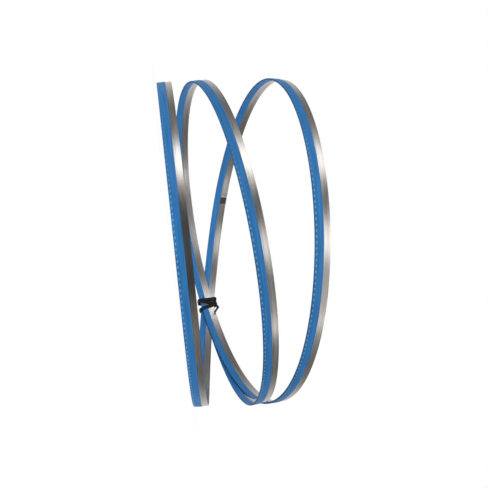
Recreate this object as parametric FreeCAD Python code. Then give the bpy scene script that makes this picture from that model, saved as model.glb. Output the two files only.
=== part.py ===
import FreeCAD, Part
import math
import os

# Steel band, in millimetres
BLADE_WIDTH = 12.7  # half-inch band, tooth tips to back edge
BLADE_THICKNESS = 0.65
TOOTH_PITCH = 4.6
TOOTH_DEPTH = 1.9
RAKE_ANGLE = 6.0  # hook of the cutting face, in degrees
GULLET_FLOOR = 0.22  # share of the pitch that is flat gullet floor
BACK_SLOPE = 0.62  # share of the pitch that the back of a tooth takes

# The fold: three loops from one closed band, lying on the lowest loop
LOOP_RADIUS = 149.5
SIDEWAYS_LEAN = 0.08  # how far a raised stretch shifts to +X, per millimetre of height

# Centre-line heights at the four sides of each loop
UPPER_BACK = 38.0
UPPER_HEAD = 101.8
UPPER_FRONT = 118.7
UPPER_FOOT = 66.2
MIDDLE_BACK = 16.2
MIDDLE_HEAD = 33.1
MIDDLE_FRONT = 68.2
MIDDLE_FOOT = 54.3
LOWER_BACK = 15.8
LOWER_HEAD = 7.3
LOWER_FRONT = 8.6
LOWER_FOOT = 7.2

# Plastic guard over the teeth, a U-shaped strip
GUARD_WALL = 0.38
GUARD_NOSE = 0.5  # plastic beyond the tooth tips
GUARD_CLEARANCE = 0.12
TIP_CLEARANCE = 0.12
OUTER_LEG = 7.1  # from the tooth tips to the lip, outside of the loops
INNER_LEG = 6.0
FOLD_CREST = 0.25  # how far the fold of the nose stands out from its shoulders
GUARD_GAP = 1.2  # butt gap between the two ends of the strip
GUARD_JOINT = 2.22  # loops along the band to that gap

# Tie round the three strands
TIE_OFFSET = 61.5  # from the middle of the loops toward the foot
TIE_WIDTH = 3.1
TIE_THICKNESS = 1.0
TIE_CORNER = 1.2  # inside rounding where the tie turns round the edges
FIRST_WRAP = -5.5  # place of each wrap along the strands, from the middle of the tie
MIDDLE_WRAP = -2.0
LAST_WRAP = 2.6
FIRST_SLANT = -1.0  # of each wrap across the strands, in degrees
MIDDLE_SLANT = 13.0
LAST_SLANT = -17.0
TIE_PLAY = 0.5
TAIL_RADIUS = 1.1
TAIL_SIDES = 8  # the twisted wires make a ribbed, not quite round, cord
TAIL_ROOT = 0.2  # from the middle of the tie along the strands to where the tail starts
TAIL_DROP = 11.4  # from its root along the strands to its tip
TAIL_HOOK = 5.0  # how far the tip comes back in front of the strands
TAIL_TURN = 0.3  # shares of the drop where the tail turns forward, is in front and hooks in
TAIL_FRONT = 0.45
TAIL_BEND = 0.7
HOOK_START = 0.4  # share of the hook made at that last bend
CROSSING_SHIFT = 2.0  # room for strands that cross at a slant inside the wraps
STRAND_PLAY = 0.45  # air between guarded strands at the tie
BUNDLE_SPREAD = 0.9  # half-angle of the stretch where the strands lie side by side
BUNDLE_LEAN = 0.145  # how far their upper edges lean outward, per millimetre of height
BUNDLE_HEIGHT = 18.4  # where that leaning stack is as wide as the loops

LOOPS = 3
PATCHES_PER_LOOP = 3
RAIL_POINTS_PER_LOOP = 24
SPARE_RAIL_POINTS = 4  # count past each end of a strip
SAMPLES = 1800

GUARD_THICKNESS = BLADE_THICKNESS + 2 * (GUARD_CLEARANCE + GUARD_WALL)
STRAND_SPACING = GUARD_THICKNESS + STRAND_PLAY
TIE_ANGLE = -math.asin(min(0.95, TIE_OFFSET / LOOP_RADIUS))
WHOLE_PATH = LOOPS * 2 * math.pi
TABLE = BLADE_WIDTH / 2 + GUARD_NOSE


def closed_blend(angle, values):
    """Smooth closed curve through equally spaced values (trigonometric interpolation)."""
    count = len(values)
    total = 0.0
    for index, value in enumerate(values):
        turn = angle / LOOPS - 2 * math.pi * index / count
        half = math.sin(turn / 2)
        if abs(half) < 1e-9:
            weight = 1.0
        else:
            weight = math.sin(count * turn / 2) * math.cos(turn / 2) / (count * half)
        total += weight * value
    return total


def loop_stations(upper, middle, lower):
    """One value per loop spread over its four sides, shared where a loop meets the next."""
    stations = []
    for before, own in ((lower, upper), (upper, middle), (middle, lower)):
        stations += [(before + own) / 2, own, own, own]
    return stations


HEIGHTS = [
    UPPER_BACK, UPPER_HEAD, UPPER_FRONT, UPPER_FOOT,
    MIDDLE_BACK, MIDDLE_HEAD, MIDDLE_FRONT, MIDDLE_FOOT,
    LOWER_BACK, LOWER_HEAD, LOWER_FRONT, LOWER_FOOT,
]
BACK_HEIGHT = (UPPER_BACK + MIDDLE_BACK + LOWER_BACK) / LOOPS


def reach_of(front_height):
    """Distance from the back of a loop to its front, seen from above."""
    rise = front_height - BACK_HEIGHT
    return math.sqrt(max((2 * LOOP_RADIUS) ** 2 - rise ** 2, LOOP_RADIUS ** 2))


REACHES = loop_stations(reach_of(UPPER_FRONT), reach_of(MIDDLE_FRONT), reach_of(LOWER_FRONT))


def tie_weight(angle):
    """One at the tie, fading to nothing along the strands."""
    offset = (angle - TIE_ANGLE + math.pi) % (2 * math.pi) - math.pi
    return math.exp(-(offset / BUNDLE_SPREAD) ** 4)


def centre(angle):
    """Point of the band's centre line; each turn of 2 pi is one loop, from back to back."""
    height = closed_blend(angle, HEIGHTS)
    x = -LOOP_RADIUS * math.sin(angle) + SIDEWAYS_LEAN * (height - TABLE)
    y = -(1 - math.cos(angle)) / 2 * closed_blend(angle, REACHES)
    inward = STRAND_SPACING * math.sin((angle - TIE_ANGLE) / LOOPS) / math.sin(2 * math.pi / LOOPS)
    y -= inward / math.cos(TIE_ANGLE)
    away = FreeCAD.Vector(x, y + LOOP_RADIUS, 0)
    stacked = LOOP_RADIUS - inward + BUNDLE_LEAN * (height - BUNDLE_HEIGHT)
    pull = (stacked - away.Length) * tie_weight(angle)
    return FreeCAD.Vector(x, y, height) + away.normalize() * pull


def tangent(angle):
    step = 1e-3
    direction = centre(angle + step) - centre(angle - step)
    return direction.normalize()


def bending_axis(angle):
    """Axis the flat band bends about; its edges run at right angles to the travel."""
    step = 2e-2
    ahead = centre(angle + step) - centre(angle)
    behind = centre(angle) - centre(angle - step)
    axis = behind.cross(ahead)
    if axis.z < 0:
        axis = axis * -1
    return axis.normalize()


def leaning(angle):
    """Width direction of the strands that are stacked side by side."""
    outward = FreeCAD.Vector(-math.sin(angle), math.cos(angle), 0)
    return (FreeCAD.Vector(0, 0, 1) + outward * BUNDLE_LEAN).normalize()


def frame_at(angle):
    """Centre, outward direction and width direction (teeth at the minus side)."""
    weight = tie_weight(angle)
    travel = tangent(angle)
    own = bending_axis(angle)
    across = own * (1 - weight) + leaning(angle) * weight
    across = across - travel * across.dot(travel)
    across = across.normalize()
    outward = across.cross(travel)
    if outward.dot(centre(angle) - loop_middle(angle)) < 0:
        outward = outward * -1
    return centre(angle), outward, across


def loop_middle(angle):
    """Middle of the loop that an angle lies in."""
    back = centre(angle)
    return FreeCAD.Vector(0, -LOOP_RADIUS, back.z)


def guard_section():
    """Cross-section of the guard: (outward, across) from the band's centre."""
    tips = -BLADE_WIDTH / 2
    cavity = BLADE_THICKNESS / 2 + GUARD_CLEARANCE
    skin = cavity + GUARD_WALL
    nose = tips - GUARD_NOSE
    seat = tips - min(TIP_CLEARANCE, 0.4 * GUARD_NOSE)
    shoulder = nose + min(FOLD_CREST, 0.5 * GUARD_NOSE)
    return [
        (skin, tips + OUTER_LEG), (skin, shoulder), (0.0, nose),
        (-skin, shoulder), (-skin, tips + INNER_LEG),
        (-cavity, tips + INNER_LEG), (-cavity, seat),
        (cavity, seat), (cavity, tips + OUTER_LEG),
    ]


def outline_corners(angle):
    """Corners of the guarded band's cross-section at one place."""
    point, outward, across = frame_at(angle)
    half = BLADE_THICKNESS / 2
    back = BLADE_WIDTH / 2
    section = guard_section() + [(half, back), (-half, back)]
    return [point + outward * out + across * over for out, over in section]


def set_down():
    """Shift that brings the middle of the footprint to the origin, resting on the table."""
    corners = []
    for index in range(SAMPLES):
        corners += outline_corners(WHOLE_PATH * index / SAMPLES)
    middle_x = (min(c.x for c in corners) + max(c.x for c in corners)) / 2
    middle_y = (min(c.y for c in corners) + max(c.y for c in corners)) / 2
    return FreeCAD.Vector(-middle_x, -middle_y, -min(c.z for c in corners))


SHIFT = set_down()


def rail(angles, outward_offset, width_offset):
    """Smooth curve that runs along the band at a fixed place in its cross-section."""
    points = []
    for angle in angles:
        point, outward, across = frame_at(angle)
        points.append(point + outward * outward_offset + across * width_offset + SHIFT)
    curve = Part.BSplineCurve()
    curve.interpolate(Points=points, Parameters=list(angles))
    return curve


def rail_angles(start, end):
    """Angles that rails pass through, the same along every strip, a little past both ends."""
    step = 2 * math.pi / RAIL_POINTS_PER_LOOP
    first = math.floor(start / step) - SPARE_RAIL_POINTS
    last = math.ceil(end / step) + SPARE_RAIL_POINTS
    return [step * index for index in range(first, last + 1)]


def band_side(outward_offset):
    """Smooth face of the whole band, tooth tips at 0 and back edge at 1 across."""
    angles = rail_angles(0, WHOLE_PATH)
    low = rail(angles, outward_offset, -BLADE_WIDTH / 2).toShape()
    high = rail(angles, outward_offset, BLADE_WIDTH / 2).toShape()
    return Part.makeRuledSurface(low, high).Surface


def travelled():
    """Angles and the length run along the band up to each of them."""
    angles = [WHOLE_PATH * index / SAMPLES for index in range(SAMPLES + 1)]
    lengths = [0.0]
    last = centre(0)
    for angle in angles[1:]:
        point = centre(angle)
        lengths.append(lengths[-1] + point.distanceToPoint(last))
        last = point
    return angles, lengths


ANGLES, LENGTHS = travelled()
BAND_LENGTH = LENGTHS[-1]
PATCHES = LOOPS * PATCHES_PER_LOOP
TEETH_PER_PATCH = max(1, round(BAND_LENGTH / TOOTH_PITCH / PATCHES))
TEETH = TEETH_PER_PATCH * PATCHES


def angle_at(length):
    """Angle reached after a given length of band."""
    low, high = 0, SAMPLES
    while high - low > 1:
        middle = (low + high) // 2
        if LENGTHS[middle] > length:
            high = middle
        else:
            low = middle
    share = (length - LENGTHS[low]) / (LENGTHS[high] - LENGTHS[low])
    return ANGLES[low] + share * (ANGLES[high] - ANGLES[low])


def tooth_outline(index):
    """Corners of one tooth and its gullet: (length along the band, share of the width)."""
    pitch = BAND_LENGTH / TEETH
    start = pitch * index
    gullet = min(TOOTH_DEPTH, 0.4 * BLADE_WIDTH) / BLADE_WIDTH
    hook = TOOTH_DEPTH * math.tan(math.radians(RAKE_ANGLE))
    floor = min(GULLET_FLOOR, 0.9 - BACK_SLOPE) * pitch
    foot = start + pitch * (1 - BACK_SLOPE) - floor + hook
    return [(start, 0.0), (foot, gullet), (foot + floor, gullet)]


def toothed_edge(patch):
    """Zigzag corners from one end of a patch to the other, on the smooth face."""
    corners = []
    for tooth in range(TEETH_PER_PATCH):
        corners += tooth_outline(patch * TEETH_PER_PATCH + tooth)
    corners.append((BAND_LENGTH / PATCHES * (patch + 1), 0.0))
    return [(angle_at(min(length, BAND_LENGTH)), share) for length, share in corners]


def lines_on(surface, corners):
    """Edges drawn on a face between successive corners."""
    edges = []
    for first, second in zip(corners, corners[1:]):
        start = FreeCAD.Base.Vector2d(*first)
        end = FreeCAD.Base.Vector2d(*second)
        edges.append(Part.Geom2d.Line2dSegment(start, end).toShape(surface))
    return edges


def band_patch(outer, inner, patch):
    """Faces of one stretch of band: two sides, tooth flanks and the back edge."""
    teeth = toothed_edge(patch)
    back = [(teeth[-1][0], 1.0), (teeth[0][0], 1.0)]
    faces = []
    borders = []
    for whole in (outer, inner):
        surface = whole.copy()
        surface.segment(teeth[0][0], teeth[-1][0], 0.0, 1.0)
        flanks = lines_on(surface, teeth)
        backs = lines_on(surface, back)
        closing = lines_on(surface, [teeth[-1], back[0]]) + lines_on(surface, [back[1], teeth[0]])
        faces.append(Part.Face(surface, Part.Wire(flanks + closing[:1] + backs + closing[1:])))
        borders.append(flanks + backs)
    for outside, inside in zip(*borders):
        faces.append(Part.makeRuledSurface(outside, inside))
    return faces


def closed_solid(faces):
    """Solid inside a set of faces that meet edge to edge."""
    skin = Part.Compound(faces)
    skin.sewShape(1e-3)
    solid = Part.Solid(skin.Shells[0])
    if solid.Volume < 0:
        solid.reverse()
    return solid


def blade_band():
    """Endless steel band with teeth along its lower edge."""
    outer = band_side(BLADE_THICKNESS / 2)
    inner = band_side(-BLADE_THICKNESS / 2)
    faces = []
    for patch in range(PATCHES):
        faces += band_patch(outer, inner, patch)
    return closed_solid(faces)


def strip_solid(rails):
    """Solid strip whose long edges are the given rails, closed by flat ends."""
    edges = [curve.toShape() for curve in rails]
    faces = []
    for first, second in zip(edges, edges[1:] + edges[:1]):
        faces.append(Part.makeRuledSurface(first, second))
    for end in (0, -1):
        corners = [edge.Vertexes[end].Point for edge in edges]
        faces.append(Part.Face(Part.makePolygon(corners + corners[:1])))
    return closed_solid(faces)


def tooth_guard():
    """Plastic strip folded over the teeth all the way round, its ends butted."""
    joint = 2 * math.pi * GUARD_JOINT
    half_gap = GUARD_GAP / 2 / LOOP_RADIUS
    start = joint + half_gap
    end = joint + WHOLE_PATH - half_gap
    angles = rail_angles(start, end)
    rails = []
    for outward, across in guard_section():
        whole = rail(angles, outward, across)
        whole.segment(start, end)
        rails.append(whole)
    return strip_solid(rails)


def bundle_placement():
    """Place of the bundle at the tie: X along the strands, Y in depth, Z across them."""
    angles = [TIE_ANGLE + 2 * math.pi * loop for loop in range(LOOPS)]
    middle = FreeCAD.Vector(0, 0, 0)
    along = FreeCAD.Vector(0, 0, 0)
    for angle in angles:
        middle += centre(angle) * (1 / LOOPS)
        along -= tangent(angle)
    along = along.normalize()
    across = leaning(TIE_ANGLE)
    across = (across - along * across.dot(along)).normalize()
    turn = FreeCAD.Rotation(along, across.cross(along), across, "XZY")
    return FreeCAD.Placement(middle + SHIFT, turn)


def rounded_box(half_width, half_depth, corner):
    """Rounded rectangle in the YZ plane, width along Z."""
    box = Part.makeBox(1.0, 2 * half_depth, 2 * half_width,
                       FreeCAD.Vector(0, -half_depth, -half_width))
    long_edges = [edge for edge in box.Edges if abs(edge.tangentAt(0).x) > 0.5]
    rounded = box.makeFillet(corner, long_edges)
    return min(rounded.Faces, key=lambda face: face.CenterOfMass.x)


def tie_wrap(inner_width, inner_depth, offset, slant):
    """One wrap: a flat strip round the bundle, slanted about the depth direction."""
    outside = rounded_box(inner_width + TIE_THICKNESS, inner_depth + TIE_THICKNESS,
                          TIE_CORNER + TIE_THICKNESS)
    inside = rounded_box(inner_width, inner_depth, TIE_CORNER)
    along = FreeCAD.Vector(TIE_WIDTH, 0, 0)
    wrap = outside.extrude(along).cut(inside.extrude(along))
    wrap.translate(FreeCAD.Vector(offset - TIE_WIDTH / 2, 0, 0))
    wrap.rotate(FreeCAD.Vector(offset, 0, 0), FreeCAD.Vector(0, 1, 0), slant)
    return wrap


def tail_rod(width, deep):
    """Twisted ends of the tie: round the side of the bundle and hooked back in front of it."""
    beside = width + TIE_THICKNESS / 2
    front = -deep - TIE_THICKNESS - TAIL_RADIUS
    tip = TAIL_ROOT + TAIL_DROP
    corners = [
        FreeCAD.Vector(TAIL_ROOT, deep / 2, beside),
        FreeCAD.Vector(TAIL_ROOT + TAIL_TURN * TAIL_DROP, 0, beside + TAIL_RADIUS),
        FreeCAD.Vector(TAIL_ROOT + TAIL_FRONT * TAIL_DROP, front, beside),
        FreeCAD.Vector(TAIL_ROOT + TAIL_BEND * TAIL_DROP, front, beside - HOOK_START * TAIL_HOOK),
        FreeCAD.Vector(tip, front, beside - TAIL_HOOK),
    ]
    side = (corners[1] - corners[0]).normalize()
    spoke = side.cross(FreeCAD.Vector(1, 0, 0)).normalize() * TAIL_RADIUS
    ring = []
    for corner in range(TAIL_SIDES + 1):
        turn = FreeCAD.Rotation(side, 360.0 * (corner + 0.5) / TAIL_SIDES)
        ring.append(corners[0] + turn.multVec(spoke))
    mitred = 1
    return Part.makePolygon(corners).makePipeShell([Part.makePolygon(ring)], True, False, mitred)


def twist_tie():
    """Coated wire strip wrapped round the three strands, with its twisted end."""
    width = BLADE_WIDTH / 2 + GUARD_NOSE + CROSSING_SHIFT + TIE_PLAY
    deep = STRAND_SPACING + GUARD_THICKNESS / 2 + TIE_PLAY
    wraps = [
        tie_wrap(width, deep, FIRST_WRAP, FIRST_SLANT),
        tie_wrap(width, deep, MIDDLE_WRAP, MIDDLE_SLANT),
        tie_wrap(width, deep, LAST_WRAP, LAST_SLANT),
    ]
    tie = wraps[0].fuse(wraps[1:] + [tail_rod(width, deep)])
    tie.Placement = bundle_placement().multiply(tie.Placement)
    return tie


os.makedirs("parts", exist_ok=True)
for name, build in (("blade_band", blade_band), ("tooth_guard", tooth_guard), ("twist_tie", twist_tie)):
    shape = build()
    shape.exportStep("parts/" + name + ".step")
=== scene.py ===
import logging
import math
from dataclasses import dataclass
from typing import Callable, Sequence

import bmesh
import bpy
from mathutils import Matrix, Vector


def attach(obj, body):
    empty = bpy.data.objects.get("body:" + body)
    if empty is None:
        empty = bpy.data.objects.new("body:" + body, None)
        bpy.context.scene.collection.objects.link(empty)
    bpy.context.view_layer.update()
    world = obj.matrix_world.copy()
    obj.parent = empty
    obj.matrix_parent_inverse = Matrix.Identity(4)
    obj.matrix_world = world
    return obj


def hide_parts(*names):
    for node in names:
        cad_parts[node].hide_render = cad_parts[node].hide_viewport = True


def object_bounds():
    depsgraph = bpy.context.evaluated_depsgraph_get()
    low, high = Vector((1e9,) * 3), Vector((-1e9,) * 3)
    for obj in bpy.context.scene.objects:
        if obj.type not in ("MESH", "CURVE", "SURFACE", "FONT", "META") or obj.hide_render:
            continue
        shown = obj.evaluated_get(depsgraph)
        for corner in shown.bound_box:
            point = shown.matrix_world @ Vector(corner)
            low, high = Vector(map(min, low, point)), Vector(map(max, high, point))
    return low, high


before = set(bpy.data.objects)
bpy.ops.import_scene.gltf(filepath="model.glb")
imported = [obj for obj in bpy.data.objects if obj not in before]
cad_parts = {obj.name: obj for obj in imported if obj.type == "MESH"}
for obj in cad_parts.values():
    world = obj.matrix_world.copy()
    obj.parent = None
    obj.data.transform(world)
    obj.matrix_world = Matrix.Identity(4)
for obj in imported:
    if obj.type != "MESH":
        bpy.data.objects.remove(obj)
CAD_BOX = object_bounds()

log = logging.getLogger("band_saw_blade")

MM = 0.001
LOOPS = 3
FULL_TURN = 2 * math.pi
TEETH = 612
BAND_MILLIMETRES = 2820.0
PHOTO_PIXELS = 488
SENSOR_WIDTH = 36.0
NEAREST_SEEN = 0.01
MAP_NAME = "band_map"
SIDE_MAP_NAME = "side_map"
SHARP_ANGLE = math.radians(35)
WELD_DISTANCE = 1e-6
TRAVEL_STEP = 1e-3
BEND_STEP = 2e-2
NO_TURN = 1e-9

Section = Sequence[tuple[float, float]]
Colour = tuple[float, float, float, float]

WHITE: Colour = (1.0, 1.0, 1.0, 1.0)


@dataclass(frozen=True)
class Station:
    """One place along a strip, with the directions of its cross-section."""

    point: Vector
    outward: Vector
    across: Vector
    run: float

    def place(self, outward: float, across: float) -> Vector:
        """Point at the given offsets from the strip's centre line."""
        return self.point + self.outward * outward + self.across * across


@dataclass(frozen=True)
class BandFold:
    """Centre line of the folded band; one turn of the angle is one loop, from back to back."""

    radius: float = 149.5 * MM
    lean: float = 0.08
    upper: tuple[float, ...] = (38.0 * MM, 101.8 * MM, 118.7 * MM, 66.2 * MM)
    middle: tuple[float, ...] = (16.2 * MM, 33.1 * MM, 68.2 * MM, 54.3 * MM)
    lower: tuple[float, ...] = (15.8 * MM, 7.3 * MM, 8.6 * MM, 7.2 * MM)
    tie_offset: float = 61.5 * MM
    spread: float = 0.9
    fade_power: int = 4
    bundle_lean: float = 0.145
    bundle_height: float = 18.4 * MM
    blade_width: float = 12.7 * MM
    blade_thickness: float = 0.65 * MM
    guard_nose: float = 0.5 * MM
    guard_thickness: float = 1.65 * MM
    strand_play: float = 0.45 * MM
    spans: int = 1080

    @property
    def path(self) -> float:
        """Angle of the whole band."""
        return LOOPS * FULL_TURN

    @property
    def table(self) -> float:
        """Height of the centre line where a strand lies flat on the table."""
        return self.blade_width / 2 + self.guard_nose

    @property
    def spacing(self) -> float:
        """Depth from one guarded strand to the next at the tie."""
        return self.guard_thickness + self.strand_play

    @property
    def tie_angle(self) -> float:
        """Angle of the strand at the tie in the first loop."""
        return -math.asin(self.tie_offset / self.radius)

    def blend(self, angle: float, values: Sequence[float]) -> float:
        """Smooth closed curve through equally spaced values.

        Args:
            angle: Place along the band.
            values: One value per station, evenly spread over the whole band.

        Returns:
            The value at the angle.
        """
        count = len(values)
        total = 0.0
        for index, value in enumerate(values):
            turn = angle / LOOPS - FULL_TURN * index / count
            half = math.sin(turn / 2)
            if abs(half) < NO_TURN:
                weight = 1.0
            else:
                weight = math.sin(count * turn / 2) * math.cos(turn / 2) / (count * half)
            total += weight * value
        return total

    def reach(self, front: float) -> float:
        """Distance from the back of a loop to its front, seen from above."""
        back = (self.upper[0] + self.middle[0] + self.lower[0]) / LOOPS
        return math.sqrt((2 * self.radius) ** 2 - (front - back) ** 2)

    def reaches(self) -> list[float]:
        """Reach at every station of the band.

        Returns:
            One value per station, shared where one loop runs into the next.
        """
        own = [self.reach(loop[2]) for loop in (self.upper, self.middle, self.lower)]
        stations = []
        for index, value in enumerate(own):
            stations += [(own[index - 1] + value) / 2, value, value, value]
        return stations

    def centre(self, angle: float) -> Vector:
        """Point of the centre line before the coil is set down on the table.

        Args:
            angle: Place along the band.

        Returns:
            The point. Near the tie the strands are drawn in until they lie side by side.
        """
        height = self.blend(angle, self.upper + self.middle + self.lower)
        x = -self.radius * math.sin(angle) + self.lean * (height - self.table)
        y = -(1 - math.cos(angle)) / 2 * self.blend(angle, self.reaches())
        inward = self.spacing * math.sin((angle - self.tie_angle) / LOOPS)
        inward /= math.sin(FULL_TURN / LOOPS)
        y -= inward / math.cos(self.tie_angle)
        away = Vector((x, y + self.radius, 0))
        stacked = self.radius - inward + self.bundle_lean * (height - self.bundle_height)
        pull = (stacked - away.length) * self.tie_weight(angle)
        return Vector((x, y, height)) + away.normalized() * pull

    def tie_weight(self, angle: float) -> float:
        """One at the tie, fading to nothing along the strands."""
        offset = (angle - self.tie_angle + math.pi) % FULL_TURN - math.pi
        return math.exp(-(offset / self.spread) ** self.fade_power)

    def tangent(self, angle: float) -> Vector:
        """Direction of travel along the band."""
        return (self.centre(angle + TRAVEL_STEP) - self.centre(angle - TRAVEL_STEP)).normalized()

    def bending_axis(self, angle: float) -> Vector:
        """Axis that the flat band bends about.

        Args:
            angle: Place along the band.

        Returns:
            The axis, on its upper side.
        """
        here = self.centre(angle)
        before = here - self.centre(angle - BEND_STEP)
        axis = before.cross(self.centre(angle + BEND_STEP) - here)
        if axis.z < 0:
            axis = -axis
        return axis.normalized()

    def leaning(self, angle: float) -> Vector:
        """Width direction of the strands that are stacked side by side."""
        outward = Vector((-math.sin(angle), math.cos(angle), 0))
        return (Vector((0, 0, 1)) + outward * self.bundle_lean).normalized()

    def section_axes(self, angle: float) -> tuple[Vector, Vector, Vector]:
        """Centre, outward direction and width direction at an angle.

        Args:
            angle: Place along the band.

        Returns:
            The centre point, the direction out of the loop and the direction from
            the teeth to the back edge.
        """
        weight = self.tie_weight(angle)
        travel = self.tangent(angle)
        across = self.bending_axis(angle) * (1 - weight) + self.leaning(angle) * weight
        across = (across - travel * across.dot(travel)).normalized()
        outward = across.cross(travel)
        point = self.centre(angle)
        if outward.dot(point - Vector((0, -self.radius, point.z))) < 0:
            outward = -outward
        return point, outward, across

    def stations(self, start: float, end: float, spans: int) -> list[Station]:
        """Evenly spaced places along the band, with the length run.

        Args:
            start: Angle of the first place.
            end: Angle of the last place.
            spans: Number of steps between them.

        Returns:
            The places, one more than the steps.
        """
        places = []
        run = start * self.radius
        last = None
        for index in range(spans + 1):
            angle = start + (end - start) * index / spans
            point, outward, across = self.section_axes(angle)
            if last is not None:
                run += (point - last).length
            last = point
            places.append(Station(point, outward, across, run))
        return places


def shifted(stations: Sequence[Station], shift: Vector) -> list[Station]:
    """The same stations, moved by a shift."""
    return [Station(s.point + shift, s.outward, s.across, s.run) for s in stations]


def between(stations: Sequence[Station], run: float) -> Station:
    """Station at a given length.

    Args:
        stations: Places in order of their length run.
        run: The wanted length.

    Returns:
        A station blended from its two neighbours.
    """
    low, high = 0, len(stations) - 1
    while high - low > 1:
        middle = (low + high) // 2
        if stations[middle].run > run:
            high = middle
        else:
            low = middle
    before, after = stations[low], stations[high]
    share = (run - before.run) / (after.run - before.run)
    return Station(
        before.point.lerp(after.point, share),
        before.outward.lerp(after.outward, share).normalized(),
        before.across.lerp(after.across, share).normalized(),
        run,
    )


def bent_strip(stations: Sequence[Station], section: Callable[[int], Section],
               capped: bool) -> bmesh.types.BMesh:
    """Bends a flat sheet into a strip or cord that follows the stations.

    Args:
        stations: Places along the strip.
        section: Outline of the cross-section at a station, as (outward, across) pairs.
        capped: Whether the strip has two ends to close; otherwise it is endless.

    Returns:
        The strip, with two UV maps in metres: its length and width, and its two
        directions across.
    """
    spans = len(stations) - 1
    sides = len(section(0))
    sheet = bmesh.new()
    flat = Matrix.Translation((spans / 2, sides / 2, 0)) @ Matrix.Diagonal((spans, sides, 1, 1))
    bmesh.ops.create_grid(sheet, x_segments=spans, y_segments=sides, size=0.5, matrix=flat)
    band_map = sheet.loops.layers.uv.new(MAP_NAME)
    side_map = sheet.loops.layers.uv.new(SIDE_MAP_NAME)
    outlines = [section(index) for index in range(spans + 1)]
    for face in sheet.faces:
        for loop in face.loops:
            column, row = round(loop.vert.co.x), round(loop.vert.co.y)
            outward, across = outlines[column][row % sides]
            loop[band_map].uv = (stations[column].run, across)
            loop[side_map].uv = (outward, across)
    for vert in sheet.verts:
        column, row = round(vert.co.x), round(vert.co.y)
        vert.co = stations[column].place(*outlines[column][row % sides])
    bmesh.ops.remove_doubles(sheet, verts=sheet.verts, dist=WELD_DISTANCE)
    if capped:
        rims = [edge for edge in sheet.edges if edge.is_boundary]
        bmesh.ops.holes_fill(sheet, edges=rims, sides=0)
    bmesh.ops.recalc_face_normals(sheet, faces=sheet.faces)
    for edge in sheet.edges:
        edge.smooth = edge.calc_face_angle(0.0) < SHARP_ANGLE
    for face in sheet.faces:
        face.smooth = True
    return sheet


def finished_piece(name: str, sheet: bmesh.types.BMesh,
                   material: bpy.types.Material) -> bpy.types.Object:
    """Object at the origin made from a finished mesh.

    Args:
        name: Name of the piece.
        sheet: The mesh, which is used up.
        material: Its finish.

    Returns:
        The new object, linked to the scene.
    """
    mesh = bpy.data.meshes.new(name)
    sheet.to_mesh(mesh)
    sheet.free()
    mesh.materials.append(material)
    piece = bpy.data.objects.new(name, mesh)
    bpy.context.scene.collection.objects.link(piece)
    log.info("%s: %d faces", name, len(mesh.polygons))
    return piece


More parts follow.
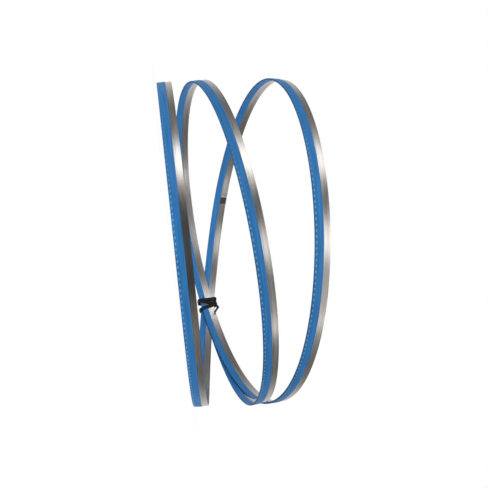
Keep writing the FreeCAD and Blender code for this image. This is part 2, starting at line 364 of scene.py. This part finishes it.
@dataclass
class NodeSheet:
    """Short ways to add and join nodes in one tree."""

    tree: bpy.types.NodeTree

    def add(self, kind: str, **settings: object) -> bpy.types.Node:
        """Adds a node.

        Args:
            kind: Type of the node.
            **settings: Properties to set on it.

        Returns:
            The new node.
        """
        node = self.tree.nodes.new(kind)
        for name, value in settings.items():
            setattr(node, name, value)
        return node

    def feed(self, socket: bpy.types.NodeSocket, value: object) -> None:
        """Gives an input its value.

        Args:
            socket: The input.
            value: A plain value, or another socket to link it to.
        """
        if isinstance(value, bpy.types.NodeSocket):
            self.tree.links.new(value, socket)
        else:
            socket.default_value = value

    def maths(self, operation: str, *values: object) -> bpy.types.NodeSocket:
        """Result of a Math node.

        Args:
            operation: Name of the operation.
            *values: Its operands, plain or sockets.

        Returns:
            The node's output.
        """
        node = self.add("ShaderNodeMath", operation=operation)
        for socket, value in zip(node.inputs, values):
            self.feed(socket, value)
        return node.outputs[0]

    def scaled(self, value: object, amount: float, base: object) -> bpy.types.NodeSocket:
        """A base plus a value times an amount."""
        return self.maths("ADD", base, self.maths("MULTIPLY", value, amount))

    def at_least(self, least: float, value: object) -> bpy.types.NodeSocket:
        """Value from 0 to 1 squeezed into the range from a least value to 1."""
        return self.scaled(value, 1 - least, least)

    def step(self, value: object, low: object, high: object) -> bpy.types.NodeSocket:
        """Smooth step.

        Args:
            value: What to compare.
            low: Where the step starts from 0.
            high: Where it reaches 1.

        Returns:
            The step's output.
        """
        node = self.add("ShaderNodeMapRange", interpolation_type="SMOOTHSTEP")
        self.feed(node.inputs["Value"], value)
        self.feed(node.inputs["From Min"], low)
        self.feed(node.inputs["From Max"], high)
        return node.outputs["Result"]

    def window(self, value: object, low: float, high: float, soft: float) -> bpy.types.NodeSocket:
        """One between two values, fading to zero outside them.

        Args:
            value: What to compare.
            low: Start of the window.
            high: End of the window.
            soft: Half the length of each fade.

        Returns:
            The window's output.
        """
        rise = self.step(value, low - soft, low + soft)
        fall = self.step(value, high + soft, high - soft)
        return self.maths("MULTIPLY", rise, fall)

    def colour(self, factor: object, first: object, second: object) -> bpy.types.NodeSocket:
        """Mix of two colours.

        Args:
            factor: Share of the second colour.
            first: Colour at 0.
            second: Colour at 1.

        Returns:
            The mixed colour.
        """
        node = self.add("ShaderNodeMix", data_type="RGBA")
        for index, value in ((0, factor), (6, first), (7, second)):
            self.feed(node.inputs[index], value)
        return node.outputs[2]

    def millimetres(self, place: bpy.types.NodeSocket) -> list[bpy.types.NodeSocket]:
        """Splits a place in metres.

        Args:
            place: Vector socket.

        Returns:
            Its first two numbers in millimetres.
        """
        parts = self.add("ShaderNodeSeparateXYZ")
        self.feed(parts.inputs[0], place)
        return [self.maths("DIVIDE", part, MM) for part in parts.outputs[:2]]

    def along_and_across(self) -> list[bpy.types.NodeSocket]:
        """Length along the band and offset across it, in millimetres."""
        return self.millimetres(self.add("ShaderNodeUVMap", uv_map=MAP_NAME).outputs[0])

    def lengthwise(self) -> bpy.types.NodeSocket:
        """Place from the head of the coil to its foot, in millimetres."""
        return self.millimetres(self.add("ShaderNodeTexCoord").outputs["Object"])[0]

    def outward(self) -> bpy.types.NodeSocket:
        """Offset out of the loop from the middle of the strip, in millimetres."""
        return self.millimetres(self.add("ShaderNodeUVMap", uv_map=SIDE_MAP_NAME).outputs[0])[0]


def tone(red: int, green: int, blue: int) -> Colour:
    """Linear colour of an sRGB shade.

    Args:
        red: Level from 0 to 255.
        green: Level from 0 to 255.
        blue: Level from 0 to 255.

    Returns:
        The opaque colour for a shader.
    """
    linear = []
    for level in (red, green, blue):
        share = level / 255
        linear.append(share / 12.92 if share <= 0.04045 else ((share + 0.055) / 1.055) ** 2.4)
    return (*linear, 1.0)


def grain_group() -> bpy.types.NodeTree:
    """Fine streaks along a strip, for rolled steel, drawn plastic and the tie's scuffs.

    Returns:
        A node group with Along, Across, Length and Width in millimetres, and Grain out.
    """
    group = bpy.data.node_groups.new("lengthwise_grain", "ShaderNodeTree")
    for name in ("Along", "Across", "Length", "Width"):
        group.interface.new_socket(name, in_out="INPUT", socket_type="NodeSocketFloat")
    group.interface.new_socket("Grain", in_out="OUTPUT", socket_type="NodeSocketFloat")
    sheet = NodeSheet(group)
    inside = sheet.add("NodeGroupInput").outputs
    outside = sheet.add("NodeGroupOutput")
    place = sheet.add("ShaderNodeCombineXYZ")
    for index, (offset, size) in enumerate((("Along", "Length"), ("Across", "Width"))):
        sheet.feed(place.inputs[index], sheet.maths("DIVIDE", inside[offset], inside[size]))
    noise = sheet.add("ShaderNodeTexNoise")
    noise.inputs["Scale"].default_value = 1.0
    noise.inputs["Detail"].default_value = 3.0
    sheet.feed(noise.inputs["Vector"], place.outputs[0])
    sheet.feed(outside.inputs["Grain"], noise.outputs["Fac"])
    return group


@dataclass(frozen=True)
class Streaks:
    """Size of one kind of streak, in millimetres."""

    length: float
    width: float


@dataclass(frozen=True)
class Finish:
    """What every material of the blade starts from."""

    name: str

    def start(self) -> tuple[bpy.types.Material, NodeSheet, bpy.types.Node]:
        """New material with its node sheet and its shader."""
        material = bpy.data.materials.new(self.name)
        material.use_nodes = True
        return material, NodeSheet(material.node_tree), material.node_tree.nodes["Principled BSDF"]

    def grain(self, sheet: NodeSheet, group: bpy.types.NodeTree,
              streaks: Streaks) -> bpy.types.NodeSocket:
        """Lengthwise streaks of a given size.

        Args:
            sheet: Nodes of the material.
            group: Node group of the lengthwise grain.
            streaks: Size of the streaks.

        Returns:
            The grain, from 0 to 1.
        """
        along, across = sheet.along_and_across()
        node = sheet.add("ShaderNodeGroup", node_tree=group)
        for name, value in (("Along", along), ("Across", across),
                            ("Length", streaks.length), ("Width", streaks.width)):
            sheet.feed(node.inputs[name], value)
        return node.outputs["Grain"]

    def emboss(self, sheet: NodeSheet, shader: bpy.types.Node, height: bpy.types.NodeSocket,
               strength: float, depth: float) -> None:
        """Gives the surface a fine relief.

        Args:
            sheet: Nodes of the material.
            shader: The material's shader.
            height: Height of the relief.
            strength: How strongly it bends the light.
            depth: Depth of the relief in metres.
        """
        bump = sheet.add("ShaderNodeBump")
        bump.inputs["Strength"].default_value = strength
        bump.inputs["Distance"].default_value = depth
        sheet.feed(bump.inputs["Height"], height)
        sheet.feed(shader.inputs["Normal"], bump.outputs["Normal"])


@dataclass(frozen=True)
class RolledSteel(Finish):
    """Bare spring steel with rolling marks and the weld; places along the band are in mm."""

    name: str = "rolled_steel"
    pale: Colour = tone(190, 186, 182)
    dull: Colour = tone(150, 147, 144)
    weld_line: Colour = tone(225, 222, 216)
    annealed: Colour = tone(84, 76, 66)
    fine: Streaks = Streaks(22.0, 0.35)
    broad: Streaks = Streaks(160.0, 2.4)
    fine_share: float = 0.6
    level_low: float = 0.36
    level_high: float = 0.64
    weld_run: float = 57.5
    weld_length: float = 7.6
    weld_fade: float = 0.6
    line_start: float = 0.3
    line_end: float = 1.1
    line_fade: float = 0.4
    roughness: float = 0.26
    streak_roughness: float = 0.12
    weld_roughness: float = 0.25
    relief: float = 0.25
    relief_depth: float = 0.02 * MM

    def build(self, group: bpy.types.NodeTree) -> bpy.types.Material:
        """The material.

        Args:
            group: Node group of the lengthwise grain.

        Returns:
            The steel's material.
        """
        material, sheet, shader = self.start()
        along, _ = sheet.along_and_across()
        streaks = self.grain(sheet, group, self.fine)
        broad = sheet.maths("MULTIPLY", self.grain(sheet, group, self.broad), 1 - self.fine_share)
        level = sheet.step(sheet.scaled(streaks, self.fine_share, broad),
                           self.level_low, self.level_high)
        zone = sheet.window(along, self.weld_run - self.weld_length, self.weld_run, self.weld_fade)
        line = sheet.window(along, self.weld_run + self.line_start, self.weld_run + self.line_end,
                            self.line_fade)
        colour = sheet.colour(level, self.dull, self.pale)
        colour = sheet.colour(zone, colour, self.annealed)
        colour = sheet.colour(line, colour, self.weld_line)
        sheet.feed(shader.inputs["Base Color"], colour)
        rough = sheet.scaled(streaks, self.streak_roughness, self.roughness)
        rough = sheet.scaled(zone, self.weld_roughness, rough)
        sheet.feed(shader.inputs["Roughness"], rough)
        shader.inputs["Metallic"].default_value = 1.0
        self.emboss(sheet, shader, streaks, self.relief, self.relief_depth)
        return material


@dataclass(frozen=True)
class BluePlastic(Finish):
    """Soft translucent blue plastic with the tooth tips showing through; lengths in mm."""

    name: str = "blue_plastic"
    body: Colour = tone(54, 132, 198)
    deep: Colour = tone(42, 112, 174)
    dot: Colour = tone(150, 200, 235)
    # fold: painted shade, a darker blue along the guard's nose where it turns away from the light
    fold: Colour = tone(34, 70, 112)
    streaks: Streaks = Streaks(40.0, 0.9)
    level_low: float = 0.35
    level_high: float = 0.65
    pitch: float = BAND_MILLIMETRES / TEETH
    dot_turn: float = 0.45
    dot_height: float = 0.9
    dot_long: float = 1.2
    dot_wide: float = 0.7
    dot_rim: float = 1.2
    dot_core: float = 0.2
    dot_strength: float = 0.6
    inner_dots: float = 0.12
    inner_to_outer: float = 0.3
    head_dots: float = 0.25
    head_end: float = -90.0
    foot_start: float = -10.0
    nose_shade_start: float = 0.25
    # Start and end, in mm beyond the tooth tips, and strength of the painted shade along the
    # guard's nose
    nose_shade_end: float = 0.6
    nose_shade_strength: float = 0.7
    roughness: float = 0.5
    streak_roughness: float = 0.1
    specular: float = 0.2
    relief: float = 0.3
    relief_depth: float = 0.05 * MM

    def dots(self, sheet: NodeSheet, tips: float) -> bpy.types.NodeSocket:
        """Row of paler dots where the tooth tips press on the plastic.

        Args:
            sheet: Nodes of the material.
            tips: Offset of the tips across the band.

        Returns:
            The dots, clear outside and toward the foot, faint inside and near the head.
        """
        along, across = sheet.along_and_across()
        turn = sheet.maths("FRACT", sheet.maths("DIVIDE", along, self.pitch))
        beside = sheet.maths("MULTIPLY", sheet.maths("SUBTRACT", turn, self.dot_turn), self.pitch)
        over = sheet.maths("SUBTRACT", across, tips + self.dot_height)
        reach = sheet.maths("ADD", *(
            sheet.maths("POWER", sheet.maths("DIVIDE", offset, half), 2.0)
            for offset, half in ((beside, self.dot_long), (over, self.dot_wide))
        ))
        side = sheet.step(sheet.outward(), -self.inner_to_outer, self.inner_to_outer)
        pressed = sheet.step(sheet.lengthwise(), self.head_end, self.foot_start)
        round_dots = sheet.step(reach, self.dot_rim, self.dot_core)
        outer = sheet.maths("MULTIPLY", round_dots, sheet.at_least(self.inner_dots, side))
        return sheet.maths("MULTIPLY", outer, sheet.at_least(self.head_dots, pressed))

    def build(self, group: bpy.types.NodeTree, blade_width: float) -> bpy.types.Material:
        """The material.

        Args:
            group: Node group of the lengthwise grain.
            blade_width: Width of the band in metres.

        Returns:
            The guard's material.
        """
        material, sheet, shader = self.start()
        _, across = sheet.along_and_across()
        tips = -blade_width / 2 / MM
        streaks = self.grain(sheet, group, self.streaks)
        level = sheet.step(streaks, self.level_low, self.level_high)
        dots = self.dots(sheet, tips)
        # Painted shade: the guard's nose is darkened toward its rim
        nose_shade = sheet.step(across, tips - self.nose_shade_start, tips - self.nose_shade_end)
        colour = sheet.colour(level, self.deep, self.body)
        for share, strength, paint in ((dots, self.dot_strength, self.dot),
                                       (nose_shade, self.nose_shade_strength, self.fold)):
            colour = sheet.colour(sheet.maths("MULTIPLY", share, strength), colour, paint)
        sheet.feed(shader.inputs["Base Color"], colour)
        rough = sheet.scaled(streaks, self.streak_roughness, self.roughness)
        sheet.feed(shader.inputs["Roughness"], rough)
        shader.inputs["Specular IOR Level"].default_value = self.specular
        self.emboss(sheet, shader, sheet.maths("ADD", streaks, dots), self.relief,
                    self.relief_depth)
        return material


@dataclass(frozen=True)
class BlackCoating(Finish):
    """Matt black coating of the tie, scuffed a little along its length."""

    name: str = "black_coating"
    body: Colour = tone(8, 8, 9)
    scuffed: Colour = tone(26, 26, 28)
    streaks: Streaks = Streaks(3.0, 0.4)
    level_low: float = 0.52
    level_high: float = 0.72
    roughness: float = 0.42
    scuff_roughness: float = 0.2
    specular: float = 0.25

    def build(self, group: bpy.types.NodeTree) -> bpy.types.Material:
        """The material.

        Args:
            group: Node group of the lengthwise grain.

        Returns:
            The tie's material.
        """
        material, sheet, shader = self.start()
        scuffs = self.grain(sheet, group, self.streaks)
        worn = sheet.step(scuffs, self.level_low, self.level_high)
        sheet.feed(shader.inputs["Base Color"], sheet.colour(worn, self.body, self.scuffed))
        rough = sheet.scaled(scuffs, self.scuff_roughness, self.roughness)
        sheet.feed(shader.inputs["Roughness"], rough)
        shader.inputs["Specular IOR Level"].default_value = self.specular
        return material


@dataclass(frozen=True)
class BladeBand:
    """The endless steel band with its row of teeth."""

    fold: BandFold
    teeth: int = TEETH
    tooth_depth: float = 1.9 * MM
    rake: float = math.radians(6.0)
    gullet_share: float = 0.22
    back_share: float = 0.62
    toothed_zone: float = 1.4

    def corners(self, length: float) -> Section:
        """Corners of the toothed edge.

        Args:
            length: Length of the whole band.

        Returns:
            Length run and depth of every corner.
        """
        pitch = length / self.teeth
        floor = self.gullet_share * pitch
        foot = pitch * (1 - self.back_share) - floor + self.tooth_depth * math.tan(self.rake)
        points = []
        for tooth in range(self.teeth):
            start = pitch * tooth
            points += [(start, 0.0), (start + foot, self.tooth_depth),
                       (start + foot + floor, self.tooth_depth)]
        points.append((length, 0.0))
        return points

    def build(self, stations: Sequence[Station], material: bpy.types.Material) -> bpy.types.Object:
        """The band as one piece.

        Args:
            stations: Closely spaced places along the whole band.
            material: The steel's finish.

        Returns:
            The finished piece.
        """
        corners = self.corners(stations[-1].run)
        places = [between(stations, run) for run, _ in corners]
        half_width = self.fold.blade_width / 2
        half = self.fold.blade_thickness / 2
        gullets = -half_width + self.toothed_zone * self.tooth_depth

        def section(index: int) -> Section:
            """Outline of the band at one corner of its teeth."""
            edge = -half_width + corners[index][1]
            return [(half, half_width), (half, gullets), (half, edge),
                    (-half, edge), (-half, gullets), (-half, half_width)]

        return finished_piece("blade_band_finished", bent_strip(places, section, False), material)


@dataclass(frozen=True)
class ToothGuard:
    """The plastic strip folded over the teeth."""

    fold: BandFold
    wall: float = 0.38 * MM
    lip_share: float = 0.25
    clearance: float = 0.12 * MM
    outer_leg: float = 7.1 * MM
    inner_leg: float = 6.0 * MM
    nose_start: float = 0.5
    nose_steps: int = 6
    gap: float = 1.2 * MM
    joint: float = 2.22
    spans: int = 900

    def outline(self) -> Section:
        """Cross-section: down the outer leg, round the nose and up the inner leg.

        Returns:
            The corners, as (outward, across) pairs.
        """
        tips = -self.fold.blade_width / 2
        cavity = self.fold.blade_thickness / 2 + self.clearance
        skin = cavity + self.wall
        crest = self.fold.guard_nose
        seat = tips - self.clearance
        lip = self.lip_share * self.wall
        outer, inner = tips + self.outer_leg, tips + self.inner_leg
        points = [(cavity + lip, outer), (skin - lip, outer), (skin, outer - lip),
                  (skin, tips + self.nose_start * self.outer_leg)]
        for index in range(self.nose_steps + 1):
            turn = math.pi * index / self.nose_steps
            points.append((skin * math.cos(turn), tips - crest * math.sin(turn)))
        points += [(-skin, tips + self.nose_start * self.inner_leg), (-skin, inner - lip),
                   (lip - skin, inner), (-cavity - lip, inner), (-cavity, inner - lip),
                   (-cavity, seat), (cavity, seat), (cavity, outer - lip)]
        return points

    def shift(self, stations: Sequence[Station]) -> Vector:
        """Shift that brings the guarded band into the box of the CAD frame.

        Args:
            stations: Places along the whole band.

        Returns:
            The shift, to the middle of the box and down to its floor.
        """
        half, back = self.fold.blade_thickness / 2, self.fold.blade_width / 2
        outline = list(self.outline()) + [(half, back), (-half, back)]
        corners = [station.place(*corner) for station in stations for corner in outline]
        low = Vector([min(corner[axis] for corner in corners) for axis in range(3)])
        high = Vector([max(corner[axis] for corner in corners) for axis in range(3)])
        frame_low, frame_high = Vector(CAD_BOX[0]), Vector(CAD_BOX[1])
        shift = (frame_low + frame_high - low - high) / 2
        shift.z = frame_low.z - low.z
        return shift

    def build(self, shift: Vector, material: bpy.types.Material) -> bpy.types.Object:
        """The guard as one piece, with its two ends butted.

        Args:
            shift: Shift of the folded band into the frame.
            material: The plastic's finish.

        Returns:
            The finished piece.
        """
        half_gap = self.gap / 2 / self.fold.radius
        start = self.joint * FULL_TURN
        strip = self.fold.stations(start + half_gap, start + self.fold.path - half_gap, self.spans)
        outline = self.outline()
        sheet = bent_strip(shifted(strip, shift), lambda _: outline, True)
        return finished_piece("tooth_guard_finished", sheet, material)


@dataclass(frozen=True)
class TwistTie:
    """The coated wire strip round the three strands, and its twisted end."""

    fold: BandFold
    width: float = 3.1 * MM
    thickness: float = 1.0 * MM
    rib: Section = ((0.34, 1.0), (0.46, 0.55), (0.85, 0.3), (1.0, 0.0))
    corner: float = 1.7 * MM
    corner_steps: int = 6
    play: float = 0.5 * MM
    crossing: float = 2.0 * MM
    wraps: tuple[tuple[float, float], ...] = (
        (-5.5 * MM, math.radians(-1.0)),
        (-2.0 * MM, math.radians(13.0)),
        (2.6 * MM, math.radians(-17.0)),
    )
    tail_radius: float = 1.1 * MM
    tail_root: float = 0.2 * MM
    tail_drop: float = 11.4 * MM
    tail_hook: float = 5.0 * MM
    tail_turn: float = 0.3
    tail_front: float = 0.45
    tail_bend: float = 0.7
    hook_start: float = 0.4
    tail_order: int = 3
    tail_steps: int = 90
    wire: float = 0.66 * MM
    wire_sides: int = 10
    wire_lay: float = 0.8
    twists: float = 3.5

    @property
    def half_width(self) -> float:
        """Half the bundle's width inside the wraps."""
        return self.fold.blade_width / 2 + self.fold.guard_nose + self.crossing + self.play

    @property
    def half_depth(self) -> float:
        """Half the bundle's depth inside the wraps."""
        return self.fold.spacing + self.fold.guard_thickness / 2 + self.play

    def placement(self, shift: Vector) -> Matrix:
        """Place of the bundle at the tie.

        Args:
            shift: Shift of the folded band into the frame.

        Returns:
            A matrix whose X runs along the strands, Y in depth and Z across them.
        """
        middle = shift.copy()
        along = Vector((0, 0, 0))
        for loop in range(LOOPS):
            angle = self.fold.tie_angle + FULL_TURN * loop
            middle += self.fold.centre(angle) / LOOPS
            along -= self.fold.tangent(angle)
        along.normalize()
        across = self.fold.leaning(self.fold.tie_angle)
        across = (across - along * across.dot(along)).normalized()
        turn = Matrix((along, across.cross(along), across)).transposed()
        return Matrix.Translation(middle) @ turn.to_4x4()

    def wrap_stations(self) -> list[Station]:
        """Once round the bundle, on a rounded rectangle in the YZ plane.

        Returns:
            The places, with the last on the first.
        """
        deep = self.half_depth + self.thickness / 2 - self.corner
        wide = self.half_width + self.thickness / 2 - self.corner
        rounds = ((deep, wide), (-deep, wide), (-deep, -wide), (deep, -wide))
        stations = []
        run = 0.0
        for quarter, (y, z) in enumerate(rounds):
            for step in range(self.corner_steps + 1):
                turn = math.pi / 2 * (quarter + step / self.corner_steps)
                outward = Vector((0, math.cos(turn), math.sin(turn)))
                point = Vector((0, y, z)) + outward * self.corner
                if stations:
                    run += (point - stations[-1].point).length
                stations.append(Station(point, outward, Vector((1, 0, 0)), run))
        first = stations[0]
        stations.append(Station(first.point, first.outward, first.across, run + 2 * wide))
        return stations

    def strip_outline(self) -> Section:
        """Cross-section of the flat strip, with a rib where the wire runs.

        Returns:
            The corners, as (outward, across) pairs.
        """
        falling = [(height * self.thickness / 2, place * self.width / 2)
                   for height, place in self.rib]
        upper = falling + [(outward, -across) for outward, across in reversed(falling[:-1])]
        return upper + [(-outward, across) for outward, across in reversed(upper)]

    def tail_spine(self) -> list[Vector]:
        """Middle line of the twisted end, round the side of the bundle and hooked back.

        Returns:
            Points along the line.
        """
        beside = self.half_width + self.thickness / 2
        front = -self.half_depth - self.thickness - self.tail_radius
        root, drop, hook = self.tail_root, self.tail_drop, self.tail_hook
        corners = [
            Vector((root, self.half_depth / 2, beside)),
            Vector((root + self.tail_turn * drop, 0, beside + self.tail_radius)),
            Vector((root + self.tail_front * drop, front, beside)),
            Vector((root + self.tail_bend * drop, front, beside - self.hook_start * hook)),
            Vector((root + drop, front, beside - hook)),
        ]
        curve = bpy.data.curves.new("tail_spine", "CURVE")
        curve.dimensions = "3D"
        curve.resolution_u = self.tail_steps // (len(corners) - 1)
        spline = curve.splines.new("NURBS")
        spline.points.add(len(corners) - 1)
        for point, corner in zip(spline.points, corners):
            point.co = (*corner, 1.0)
        spline.order_u = self.tail_order
        spline.use_endpoint_u = True
        holder = bpy.data.objects.new("tail_spine", curve)
        line = bpy.data.meshes.new_from_object(holder)
        spine = [vert.co.copy() for vert in line.vertices]
        bpy.data.objects.remove(holder)
        bpy.data.meshes.remove(line)
        bpy.data.curves.remove(curve)
        return spine

    def tail_wire(self, phase: float) -> list[Station]:
        """One of the two wires twisted round each other.

        Args:
            phase: Angle of the wire round the middle line at its start.

        Returns:
            Stations along the wire.
        """
        spine = self.tail_spine()
        ahead = [(after - before).normalized() for before, after in zip(spine, spine[1:])]
        ahead.append(ahead[-1])
        side = ahead[0].orthogonal().normalized()
        line = []
        for index, point in enumerate(spine):
            side = (side - ahead[index] * side.dot(ahead[index])).normalized()
            other = ahead[index].cross(side)
            turn = phase + FULL_TURN * self.twists * index / len(spine)
            beside = side * math.cos(turn) + other * math.sin(turn)
            line.append(point + beside * self.wire * self.wire_lay)
        stations = []
        outward = side
        run = 0.0
        for before, after in zip(line, line[1:]):
            travel = (after - before).normalized()
            outward = (outward - travel * outward.dot(travel)).normalized()
            stations.append(Station(before, outward, travel.cross(outward), run))
            run += (after - before).length
        return stations

    def wire_outline(self) -> Section:
        """Cross-section of one wire of the tail."""
        turns = [FULL_TURN * index / self.wire_sides for index in range(self.wire_sides)]
        return [(self.wire * math.cos(turn), self.wire * math.sin(turn)) for turn in turns]

    def build(self, shift: Vector, material: bpy.types.Material) -> bpy.types.Object:
        """The tie as one piece.

        Args:
            shift: Shift of the folded band into the frame.
            material: The coating.

        Returns:
            The finished piece.
        """
        outline, wire_outline = self.strip_outline(), self.wire_outline()
        strips = []
        for offset, slant in self.wraps:
            wrap = bent_strip(self.wrap_stations(), lambda _: outline, False)
            slanted = Matrix.Translation((offset, 0, 0)) @ Matrix.Rotation(slant, 4, "Y")
            bmesh.ops.transform(wrap, matrix=slanted, verts=wrap.verts)
            strips.append(wrap)
        for phase in (0.0, math.pi):
            strips.append(bent_strip(self.tail_wire(phase), lambda _: wire_outline, True))
        whole = bmesh.new()
        scratch = bpy.data.meshes.new("tie_scratch")
        for strip in strips:
            strip.to_mesh(scratch)
            whole.from_mesh(scratch)
            strip.free()
        bpy.data.meshes.remove(scratch)
        bmesh.ops.transform(whole, matrix=self.placement(shift), verts=whole.verts)
        return finished_piece("twist_tie_finished", whole, material)


@dataclass(frozen=True)
class Card:
    """A soft light panel, placed by its direction as seen from the coil.

    Rise is toward the top of the photograph and turn toward its right, both measured
    in degrees from the line to the camera.
    """

    name: str
    rise: float
    turn: float
    tall: float
    wide: float
    distance: float
    radiance: float


@dataclass(frozen=True)
class Studio:
    """Camera, light panels, floor and surroundings."""

    cards: tuple[Card, ...] = (
        Card("upper_card", 51.0, 16.0, 0.44, 1.5, 1.2, 3.3),
        Card("right_card", -4.0, 36.0, 0.46, 0.85, 1.4, 3.3),
        Card("lower_card", -54.0, 38.0, 0.12, 0.6, 1.3, 3.8),
        Card("side_fill", -28.0, 64.0, 0.7, 0.7, 1.2, 4.5),
    )
    aim_height: float = 50.0 * MM
    camera_place: tuple[float, float, float] = (31.1 * MM, -1017.5 * MM, 17.1 * MM)
    camera_roll: float = math.radians(6.78)
    focal_pixels: float = 932.0
    axis_pixel: tuple[float, float] = (197.6, 276.8)
    floor_radius: float = 0.175
    floor_sides: int = 96
    floor_drop: float = 0.4 * MM
    floor_colour: Colour = (0.8, 0.8, 0.8, 1.0)
    floor_roughness: float = 0.8
    floor_glow: float = 0.95
    room: Colour = (0.25, 0.245, 0.24, 1.0)
    behind_camera: Colour = (0.01, 0.01, 0.01, 1.0)
    dim_start: float = 0.62
    dim_full: float = 0.86
    backdrop_start: float = -0.3
    backdrop_full: float = -0.9

    def camera(self, shift: Vector) -> None:
        """Camera at the photograph's viewing angle, turned so that the coil lies on its side.

        Args:
            shift: Shift of the folded band into the frame.
        """
        lens = bpy.data.cameras.new("photo_camera")
        lens.sensor_width = SENSOR_WIDTH
        lens.lens = self.focal_pixels / PHOTO_PIXELS * SENSOR_WIDTH
        lens.shift_x = 0.5 - self.axis_pixel[0] / PHOTO_PIXELS
        lens.shift_y = self.axis_pixel[1] / PHOTO_PIXELS - 0.5
        lens.clip_start = NEAREST_SEEN
        camera = bpy.data.objects.new("photo_camera", lens)
        right = Vector((math.sin(self.camera_roll), 0, math.cos(self.camera_roll)))
        up = Vector((-math.cos(self.camera_roll), 0, math.sin(self.camera_roll)))
        turn = Matrix((right, up, right.cross(up))).transposed()
        place = Vector(self.camera_place) + shift
        camera.matrix_world = Matrix.Translation(place) @ turn.to_4x4()
        bpy.context.scene.collection.objects.link(camera)
        bpy.context.scene.camera = camera

    def light(self, card: Card) -> None:
        """Hangs one soft panel round the coil.

        Args:
            card: The panel's place, size and brightness.
        """
        lamp = bpy.data.lights.new(card.name, "AREA")
        lamp.shape = "RECTANGLE"
        lamp.size = card.wide
        lamp.size_y = card.tall
        lamp.energy = card.radiance * math.pi * card.wide * card.tall
        rise, turn = math.radians(card.rise), math.radians(card.turn)
        toward = Vector((-math.sin(rise), -math.cos(rise) * math.cos(turn),
                         math.cos(rise) * math.sin(turn)))
        middle = Vector((0, 0, self.aim_height))
        wide = (Vector((0, 0, 1)) - toward * toward.z).normalized()
        tall = toward.cross(wide)
        facing = Matrix((wide, tall, toward)).transposed().to_4x4()
        holder = bpy.data.objects.new(card.name, lamp)
        holder.matrix_world = Matrix.Translation(middle + toward * card.distance) @ facing
        bpy.context.scene.collection.objects.link(holder)

    def floor(self) -> None:
        """Pale round table top under the coil, which the camera sees as white."""
        sheet = bmesh.new()
        bmesh.ops.create_circle(sheet, cap_ends=True, segments=self.floor_sides,
                                radius=self.floor_radius,
                                matrix=Matrix.Translation((0, 0, -self.floor_drop)))
        material = bpy.data.materials.new("pale_table")
        material.use_nodes = True
        nodes = NodeSheet(material.node_tree)
        shader = material.node_tree.nodes["Principled BSDF"]
        shader.inputs["Base Color"].default_value = self.floor_colour
        shader.inputs["Roughness"].default_value = self.floor_roughness
        shader.inputs["Specular IOR Level"].default_value = 0.0
        glow = nodes.add("ShaderNodeEmission")
        mix = nodes.add("ShaderNodeMixShader")
        path = nodes.add("ShaderNodeLightPath")
        seen = nodes.maths("MAXIMUM", path.outputs["Is Camera Ray"],
                           nodes.maths("MAXIMUM", path.outputs["Is Glossy Ray"],
                                       path.outputs["Is Transmission Ray"]))
        nodes.feed(mix.inputs[0], nodes.maths("MULTIPLY", seen, self.floor_glow))
        nodes.feed(mix.inputs[1], shader.outputs[0])
        nodes.feed(mix.inputs[2], glow.outputs[0])
        nodes.feed(material.node_tree.nodes["Material Output"].inputs["Surface"], mix.outputs[0])
        finished_piece("table_top", sheet, material)

    def surroundings(self) -> None:
        """White backdrop behind the coil, and a dim room behind the camera for the steel."""
        world = bpy.data.worlds.new("studio")
        bpy.context.scene.world = world
        world.use_nodes = True
        nodes = NodeSheet(world.node_tree)
        background = world.node_tree.nodes["Background"]
        parts = nodes.add("ShaderNodeSeparateXYZ")
        nodes.feed(parts.inputs[0], nodes.add("ShaderNodeTexCoord").outputs["Generated"])
        toward_camera = nodes.maths("MULTIPLY", parts.outputs["Y"], -1.0)
        dim = nodes.step(toward_camera, self.dim_start, self.dim_full)
        backdrop = nodes.step(toward_camera, self.backdrop_start, self.backdrop_full)
        room = nodes.colour(dim, self.room, self.behind_camera)
        room = nodes.colour(backdrop, room, WHITE)
        seen = nodes.add("ShaderNodeLightPath").outputs["Is Camera Ray"]
        nodes.feed(background.inputs["Color"], nodes.colour(seen, room, WHITE))

    def build(self, shift: Vector) -> None:
        """Sets up everything that isn't the blade.

        Args:
            shift: Shift of the folded band into the frame.
        """
        self.camera(shift)
        for card in self.cards:
            self.light(card)
        self.floor()
        self.surroundings()
        bpy.context.scene.view_settings.view_transform = "Standard"


def dress(piece: bpy.types.Object, node: str) -> None:
    """Hands a finished piece to the frame in place of its CAD solid.

    Args:
        piece: The finished piece.
        node: Node that it replaces.
    """
    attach(piece, "root")
    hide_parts(node)


def main() -> None:
    """Builds the blade, its guard and its tie, and the studio round them."""
    logging.basicConfig(level=logging.INFO)
    fold = BandFold()
    whole = fold.stations(0.0, fold.path, fold.spans)
    guard = ToothGuard(fold)
    shift = guard.shift(whole)
    grain = grain_group()
    steel = RolledSteel().build(grain)
    plastic = BluePlastic().build(grain, fold.blade_width)
    coating = BlackCoating().build(grain)

    dress(BladeBand(fold).build(shifted(whole, shift), steel), "blade_band")
    dress(guard.build(shift, plastic), "tooth_guard")
    dress(TwistTie(fold).build(shift, coating), "twist_tie")
    Studio().build(shift)


if __name__ == "__main__":
    main()
